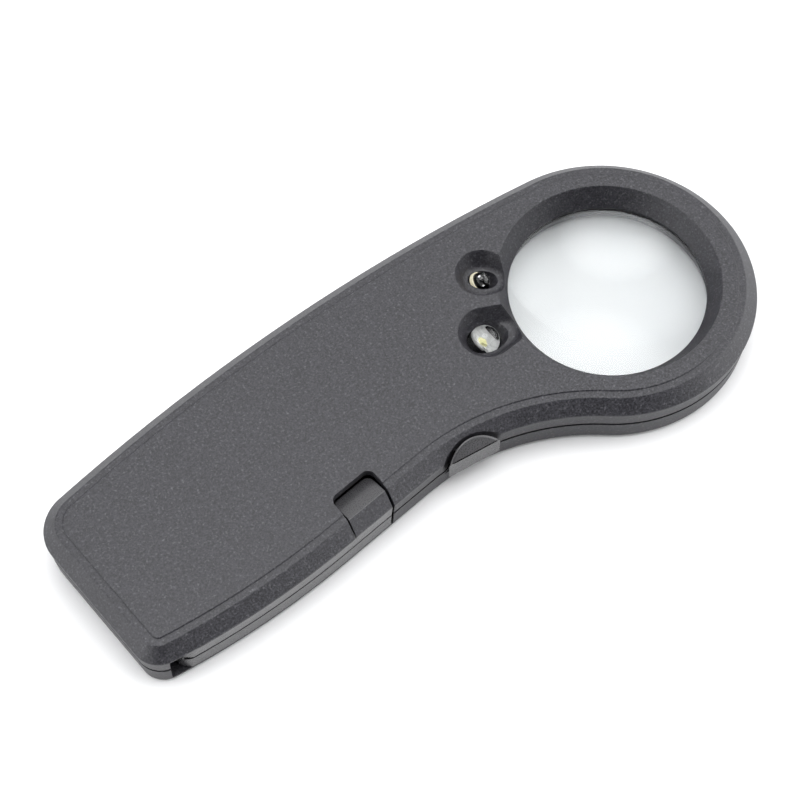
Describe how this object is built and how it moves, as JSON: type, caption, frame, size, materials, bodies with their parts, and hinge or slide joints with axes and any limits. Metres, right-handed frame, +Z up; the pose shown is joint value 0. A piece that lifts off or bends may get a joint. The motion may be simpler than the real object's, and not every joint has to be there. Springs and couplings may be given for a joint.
{
  "type": "low vision magnifier",
  "caption": "Flat handheld illuminated magnifier: round reading lens in a curved handle with recessed LEDs, a side push button and a swing-out coin cell tray.",
  "frame": {"origin": "middle of the underside's bounding rectangle, on the surface that the magnifier lies on", "axes": "+X along the magnifier from the handle's end to the lens, +Y towards the convex back of the handle, +Z up out of the side with the LEDs"},
  "size_m": [0.1242, 0.049, 0.0108],
  "materials": {
    "speckled_case": "charcoal moulding with a fine spark-eroded grain",
    "smooth_case": "charcoal moulding, smooth satin",
    "lens_acrylic": "polished clear biconvex lens",
    "clear_epoxy": "clear moulded LED body",
    "tinned_wire": "bright tinned metal",
    "board": "green solder mask",
    "black_plastic": "black moulding",
    "red_plastic": "red moulding",
    "steel": "plated steel",
    "cell_steel": "bright stainless can"
  },
  "bodies": {
    "casing": {"top_shell": "speckled_case", "bottom_shell": "speckled_case", "lens": "lens_acrylic", "white_led": "clear_epoxy", "uv_led": "clear_epoxy", "white_led_anode": "tinned_wire", "white_led_cathode": "tinned_wire", "uv_led_anode": "tinned_wire", "uv_led_cathode": "tinned_wire", "circuit_board": "board", "white_led_resistor": "black_plastic", "uv_led_resistor": "black_plastic", "switch_base": "black_plastic", "switch_cover": "steel", "tray_pivot_pin": "steel", "negative_contact": "tinned_wire", "positive_contact": "tinned_wire", "case_screw_1": "steel", "case_screw_2": "steel", "case_screw_3": "steel", "case_screw_4": "steel"},
    "tray": {"battery_tray": "smooth_case", "coin_cell_lower": "cell_steel", "coin_cell_upper": "cell_steel"},
    "button": {"push_button": "smooth_case", "switch_plunger": "red_plastic"}
  },
  "joints": [
    {"name": "tray_swing", "type": "hinge", "parent": "casing", "child": "tray", "pos_m": [-0.04898, -0.01751, 0.005], "axis": [0, 0, -1], "range_deg": [0, 80]},
    {"name": "button_press", "type": "slide", "parent": "casing", "child": "button", "axis": [0, 1, 0], "range_m": [0, 0.00035], "stiffness_N_per_m": 1500}
  ]
}
